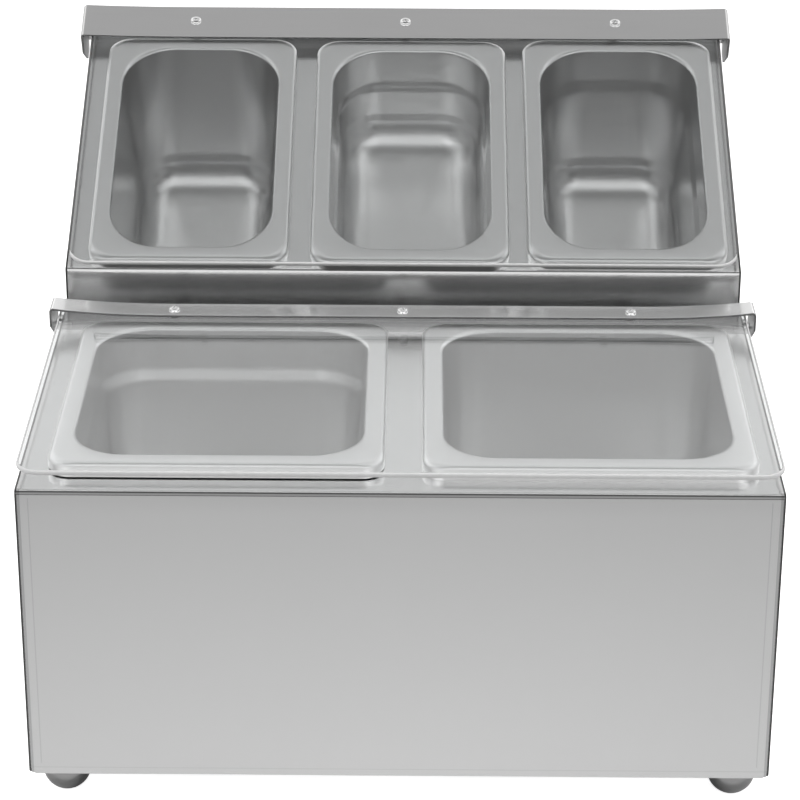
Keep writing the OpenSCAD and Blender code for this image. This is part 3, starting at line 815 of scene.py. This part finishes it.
# %% Rear strip
rear_top = rear_lid_h + lid_t + strip_t + rear_strip_bow
rear_strip = make_strip(
    "hinge_strip_rear", on_rear_deck, rear_strip_start, rear_strip_w, rear_lid_h,
    rear_strip_bow,
    [(-20.0, 188.0), (-3.5, rear_strip_start), (rear_top, rear_strip_start)],
    [(-20.0, 196.0), (-4.0, 204.0), (1.0, 204.0),
     (rear_top - strip_t / 2, rear_strip_start + rear_strip_w)])
finish_piece(rear_strip, rear_strip_steel, "strip_steel", "rear_lid", "upper_hinge_strip")
add_hidden_finishes(rear_strip)

# %% [markdown]
# ## Turned pieces
# Screws and feet are turned on a lathe, so each is a profile carried round an axis. Only the
# screw's head needs more: its cross recess is pressed in, so the height of the dome drops
# wherever a point lies in one of the two slots. Both ends of a profile reach the axis, and a weld
# shrinks the ring there to one point, which closes the shape.

# %% Lathe
def lathe(profile, steps):
    """Points (r cos a, r sin a, z) for each pair (r, z) of the profile."""
    a = np.linspace(0, 2 * math.pi, steps, endpoint=False)
    r, z = profile[:, :1], profile[:, 1:]
    return np.stack(np.broadcast_arrays(r * np.cos(a), r * np.sin(a), z), axis=-1)


def turned_piece(name, local, place):
    """A closed mesh from lathe points, moved by place: rings at the axis shrink to a point."""
    faces = grid_faces(*local.shape[:2], wrap=True)[:, ::-1]
    piece = make_mesh(name, place(local), faces, sharp=45)
    weld_points(piece, "close poles", 0.001)
    print(name, "volume", round(enclosed_volume(piece), 1), "mm3")
    return piece


# %% Screws
screw_r, shank_l = 1.5, 6.0
head_r, head_h, head_brim = 3.0, 1.7, 0.35
screw_turns = (-15, 20, 55)     # degrees, left to right
rear_screw_back = 0.75          # behind the middle of the rear strip
front_screw_s = front_strip_start + front_strip_w / 2
rear_screw_s = rear_strip_start + rear_strip_w / 2 + rear_screw_back
recess_w, recess_reach, recess_depth = 0.6, 1.7, 0.8
recess_side, recess_end = 0.15, 0.5     # how far its sides and its ends slope
recess_above = 0.5              # only the dome above this height is pressed in
coarse_rows = 3                 # top rows of the dome that give way to fine ones for the recess


def screw_points(turn):
    """A shank with a domed head, h = brim + (height - brim) * (1 - (r / R)^2)^0.5, less the
    cross recess, whose depth falls off linearly at its sides and ends."""
    a = np.linspace(0, math.pi / 2, 14)[::-1]
    dome = np.stack([head_r * np.sin(a), head_brim + (head_h - head_brim) * np.cos(a)], -1)
    inner = np.linspace(dome[-1 - coarse_rows, 0], 0, 16)[1:]
    crown = np.stack([inner, np.interp(inner, dome[::-1, 0], dome[::-1, 1])], -1)
    shank = [[0, -shank_l], [screw_r, -shank_l], [screw_r, 0.0], [head_r, 0.0]]
    points = lathe(np.concatenate([shank, dome[:-coarse_rows], crown]), 72)
    u = points[..., 0] * math.cos(turn) + points[..., 1] * math.sin(turn)
    v = points[..., 1] * math.cos(turn) - points[..., 0] * math.sin(turn)
    near_arm, far_arm = np.minimum(np.abs(u), np.abs(v)), np.maximum(np.abs(u), np.abs(v))
    inside = np.clip((recess_w / 2 - near_arm) / recess_side, 0, 1)
    inside = inside * np.clip((recess_reach - far_arm) / recess_end, 0, 1)
    on_dome = points[..., 2] > recess_above
    points[..., 2] -= np.where(on_dome, recess_depth * inside, 0)
    return points


for lid, body, deck, s, h in (
        ("lower", "front_lid", on_front_deck, front_screw_s, front_lid_h),
        ("upper", "rear_lid", on_rear_deck, rear_screw_s, rear_lid_h)):
    top = h + lid_t + strip_t
    for side, x, turn in zip(
            ("left", "middle", "right"), (-screw_pitch, 0.0, screw_pitch), screw_turns):
        screw = turned_piece(
            f"cross_screw_{lid}_{side}", screw_points(math.radians(turn)),
            lambda p: deck(p[..., 0] + x, p[..., 1] + s, p[..., 2] + top))
        finish_piece(screw, fastener_steel, "fastener_steel", body, f"{lid}_screw_{side}")

# %% [markdown]
# ## Feet
# A foot is a polished ball with a small flat where it stands and a short collar under the base.
# Its stud is shut inside the housing, so the profile ends at the base.

# %% Round feet
foot_r, foot_flat_r, collar_r, collar_h = 12.0, 5.0, 8.0, 2.5
foot_side, foot_end = 16.0, 22.0


def foot_profile():
    """Pairs (r, z) from the flat, round the ball and up the collar to the base."""
    ball_z = math.sqrt(foot_r ** 2 - foot_flat_r ** 2) - foot_h
    low = math.degrees(math.asin((-foot_h - ball_z) / foot_r))
    high = math.degrees(math.asin((-collar_h - ball_z) / foot_r))
    ball = arc((0.0, ball_z), foot_r, low, high, 28)
    collar = [[collar_r, -collar_h], [collar_r, 0.0], [0.0, 0.0]]
    return np.concatenate([[[0.0, -foot_h]], ball, collar])


for y_name, from_front in (("front", foot_end), ("back", back_y - foot_end)):
    for x_name, x in (("left", foot_side - body_w / 2), ("right", body_w / 2 - foot_side)):
        foot_place = (x, *housing(from_front, 0.0))
        foot = turned_piece(f"round_foot_{y_name}_{x_name}", lathe(foot_profile(), 64),
                            lambda p: p + foot_place)
        finish_piece(foot, foot_metal, "foot_metal", "housing", f"foot_{y_name}_{x_name}")

# %% [markdown]
# ## Plates, nuts and pivots that stay as they are
# These solids already have their true shape. A weld joins their loose triangles, a fine bevel
# breaks the edges so that they catch the light, and each gets its finish. The wide panels are
# shaded flat, because a normal blended across a long triangle would show as a wedge of tone.

# %% Finishes for the solids that stay
small_bevel, wide_bevel = 0.15, 0.2
kept = {"back_panel": (housing_steel, wide_bevel), "base_panel": (housing_steel, wide_bevel),
        "left_side_panel": (side_steel, small_bevel),
        "right_side_panel": (side_steel, small_bevel)}
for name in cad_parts:
    if "nut" in name or "pivot" in name:
        kept[name] = (fastener_steel, small_bevel)
for name, (material, bevel) in kept.items():
    solid, is_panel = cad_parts[name], "panel" in name
    solid.data.materials.clear()
    solid.data.materials.append(material)
    if is_panel:
        solid.data.shade_flat()
    else:
        solid.data.shade_smooth()
    weld_points(solid, "join triangles", 0.005)
    break_edges(solid, bevel, 40, harden=not is_panel)
print("finished solids", len(kept))

# %% [markdown]
# ## Camera
# The camera looks down on the caddy from the front. Its place is in metres, and its turn is given
# by how far it pitches down, turns aside and rolls. The lens follows from its focal length in
# pixels of a square picture.

# %% Camera
focal_pixels, image_pixels = 2930.9, 800
camera_place = Vector((0.0061, -1.4475, 0.7811))
camera_pitch, camera_yaw, camera_roll = (math.radians(v) for v in (24.26, 0.291, 0.256))
camera_data = bpy.data.cameras.new("camera")
camera_data.sensor_width = 36.0
camera_data.lens = focal_pixels / image_pixels * camera_data.sensor_width
camera = bpy.data.objects.new("camera", camera_data)
bpy.context.scene.collection.objects.link(camera)
camera.matrix_world = (
    Matrix.Translation(camera_place) @ Matrix.Rotation(camera_yaw, 4, "Z")
    @ Matrix.Rotation(math.pi / 2 - camera_pitch, 4, "X") @ Matrix.Rotation(camera_roll, 4, "Z"))
bpy.context.scene.camera = camera
bpy.context.scene.view_settings.view_transform = "Standard"
print("lens", round(camera_data.lens, 2), "mm")

# %% [markdown]
# ## Floor
# The floor is pale, and runs far past the view. A plain diffuse floor would render grey, so it
# gives off some light of its own, but only towards the camera and, dimmer, through the clear
# lids: it reads white, keeps the caddy's shadow, and throws no extra light on the steel.

# %% Pale floor
floor_half = 6.0                # metres
floor_lift = 0.9
lid_share = 0.3                 # of the lift, for the floor seen through a clear lid
# A painted pool of light on the floor: its grey falls from the centre tone to the rim tone between
# the two reaches.
pool_centre_tone, pool_rim_tone = 0.80, 0.56
pool_centre_reach, pool_rim_reach = 0.24, 0.62      # metres from the middle


def pale_floor():
    """Diffuse pale floor, lifted so that it reads white with its shadow kept: in full for camera
    rays, and by lid_share for those that have only passed through a clear lid. Its grey is a
    painted pool of light, lightest under the object, as a sweep of paper under a soft light is."""
    material = bpy.data.materials.new("pale_floor")
    material.use_nodes = True
    tree = material.node_tree
    tree.nodes.clear()
    distance = add_node(tree, "ShaderNodeVectorMath", operation="LENGTH")
    tree.links.new(object_place(tree), distance.inputs[0])
    tone = map_range(
        tree, distance.outputs["Value"], pool_centre_tone, pool_rim_tone, pool_centre_reach, pool_rim_reach)
    diffuse = add_node(tree, "ShaderNodeBsdfDiffuse")
    tree.links.new(grey(tree, tone), diffuse.inputs["Color"])
    path = add_node(tree, "ShaderNodeLightPath").outputs
    bounces = combine(tree, path["Glossy Depth"], path["Diffuse Depth"], "ADD")
    straight = combine(tree, bounces, 0.5, "LESS_THAN")
    through = combine(tree, combine(tree, path["Is Transmission Ray"], straight), lid_share)
    seen = combine(tree, path["Is Camera Ray"], through, "MAXIMUM")
    glow = add_node(tree, "ShaderNodeEmission")
    tree.links.new(combine(tree, seen, floor_lift), glow.inputs["Strength"])
    total = add_node(tree, "ShaderNodeAddShader")
    tree.links.new(diffuse.outputs[0], total.inputs[0])
    tree.links.new(glow.outputs[0], total.inputs[1])
    output = add_node(tree, "ShaderNodeOutputMaterial")
    tree.links.new(total.outputs[0], output.inputs["Surface"])
    return material


floor_corners = np.array([[-1, -1, 0], [1, -1, 0], [1, 1, 0], [-1, 1, 0]]) * (floor_half / MM)
floor = make_mesh("floor", floor_corners, np.array([[0, 1, 2, 3]]))
floor.data.materials.append(pale_floor())

# %% [markdown]
# ## The room that the steel mirrors
# Steel has little look of its own: it shows the room. So the world is a simple room, told by two
# angles of a ray. The turn from behind over the top to the front picks a tone from a ramp, which
# has a dark ceiling between pale walls. The lean to the side adds two long soft lights. Rays that
# only light the object get an even grey, and the camera and clear lids see plain white.

# %% Room tones by direction
# Pairs of turn in degrees, 0 behind, 90 overhead and 180 in front, and tone.
room_tones = [(0, 1.0), (50, 1.0), (62, 0.6), (74, 0.56), (80, 1.3), (88, 1.3), (96, 0.4),
              (108, 0.25), (124, 0.25), (134, 0.5), (141, 1.3), (150, 1.3), (157, 1.27),
              (168, 1.27), (180, 0.75)]
side_light = 2.0
side_light_starts, side_light_ends = (24, 38), (52, 66)     # degrees up from the side
first_mirror_share = 0.25       # a strip's folds would glare with the side lights at full


def room_tone(tree, path):
    """The ramp at the ray's turn, plus the side lights at its lean."""
    direction = add_node(tree, "ShaderNodeSeparateXYZ")
    tree.links.new(add_node(tree, "ShaderNodeTexCoord").outputs["Generated"], direction.inputs[0])
    x, y, z = direction.outputs
    turn = combine(tree, combine(tree, z, y, "ARCTAN2"), math.pi, "DIVIDE")
    ramp = add_node(tree, "ShaderNodeValToRGB")
    stops = ramp.color_ramp.elements
    while len(stops) < len(room_tones):
        stops.new(0.5)
    for stop, (degrees, tone) in zip(stops, room_tones):
        stop.position = degrees / 180
        stop.color = (tone, tone, tone, 1)
    tree.links.new(turn, ramp.inputs["Fac"])
    lean = combine(tree, z, absolute(tree, x), "ARCTAN2")
    rising = map_range(tree, lean, 0.0, side_light, *map(math.radians, side_light_starts))
    falling = map_range(tree, lean, side_light, 0.0, *map(math.radians, side_light_ends))
    mirrored_twice = combine(tree, path["Glossy Depth"], 1.5, "GREATER_THAN")
    share_seen = map_range(tree, mirrored_twice, first_mirror_share, 1.0, 0.0, 1.0)
    side_tone = combine(tree, combine(tree, rising, falling, "MINIMUM"), share_seen)
    return combine(tree, ramp.outputs["Color"], side_tone, "ADD")


# %% World
white = (1, 1, 1, 1)
even_light = 0.55


def background(tree, strength):
    """A white background of this strength."""
    node = add_node(tree, "ShaderNodeBackground")
    node.inputs["Color"].default_value = white
    node.inputs["Strength"].default_value = strength
    return node


world = bpy.data.worlds.new("studio")
bpy.context.scene.world = world
world.use_nodes = True
tree = world.node_tree
tree.nodes.clear()
path = add_node(tree, "ShaderNodeLightPath").outputs
white_or_room = add_node(tree, "ShaderNodeMix", data_type="RGBA")
white_or_room.inputs["A"].default_value = white
tree.links.new(combine(tree, path["Glossy Depth"], 0.5, "GREATER_THAN"),
               white_or_room.inputs["Factor"])
tree.links.new(room_tone(tree, path), white_or_room.inputs["B"])
mirrored = background(tree, 1.0)
tree.links.new(white_or_room.outputs["Result"], mirrored.inputs["Color"])
lit, backdrop = background(tree, even_light), background(tree, 1.0)
seen = combine(tree, path["Is Glossy Ray"], path["Is Transmission Ray"], "MAXIMUM")
lit_or_seen = mix_shaders(tree, seen, lit.outputs[0], mirrored.outputs[0])
surface = mix_shaders(tree, path["Is Camera Ray"], lit_or_seen, backdrop.outputs[0])
tree.links.new(surface, add_node(tree, "ShaderNodeOutputWorld").inputs["Surface"])
print("room tones", len(room_tones))

# %% [markdown]
# ## Lamps
# Two wide lamps stand at the sides and one hangs overhead, so that every shadow is soft. They
# light the floor, but stay out of mirrors and out of what the clear lids show, where
# their outlines would read as hard bright bars.

# %% Lamps
lamp_aim = Vector((0, 0, 0.15))


def soft_lamp(name, place, width, height, watts):
    """A rectangular lamp at place, facing the caddy, with sizes in metres."""
    data = bpy.data.lights.new(name, "AREA")
    data.shape = "RECTANGLE"
    data.size, data.size_y = width, height
    data.energy = watts
    lamp = bpy.data.objects.new(name, data)
    lamp.visible_glossy = lamp.visible_transmission = False
    bpy.context.scene.collection.objects.link(lamp)
    lamp.location = place
    lamp.rotation_euler = (lamp_aim - Vector(place)).to_track_quat("-Z", "Y").to_euler()


soft_lamp("left lamp", (-1.6, -0.5, 1.1), 0.8, 1.2, 14)
soft_lamp("right lamp", (1.6, -0.5, 1.1), 0.8, 1.2, 14)
soft_lamp("top lamp", (0, -0.35, 1.9), 1.6, 0.5, 12)
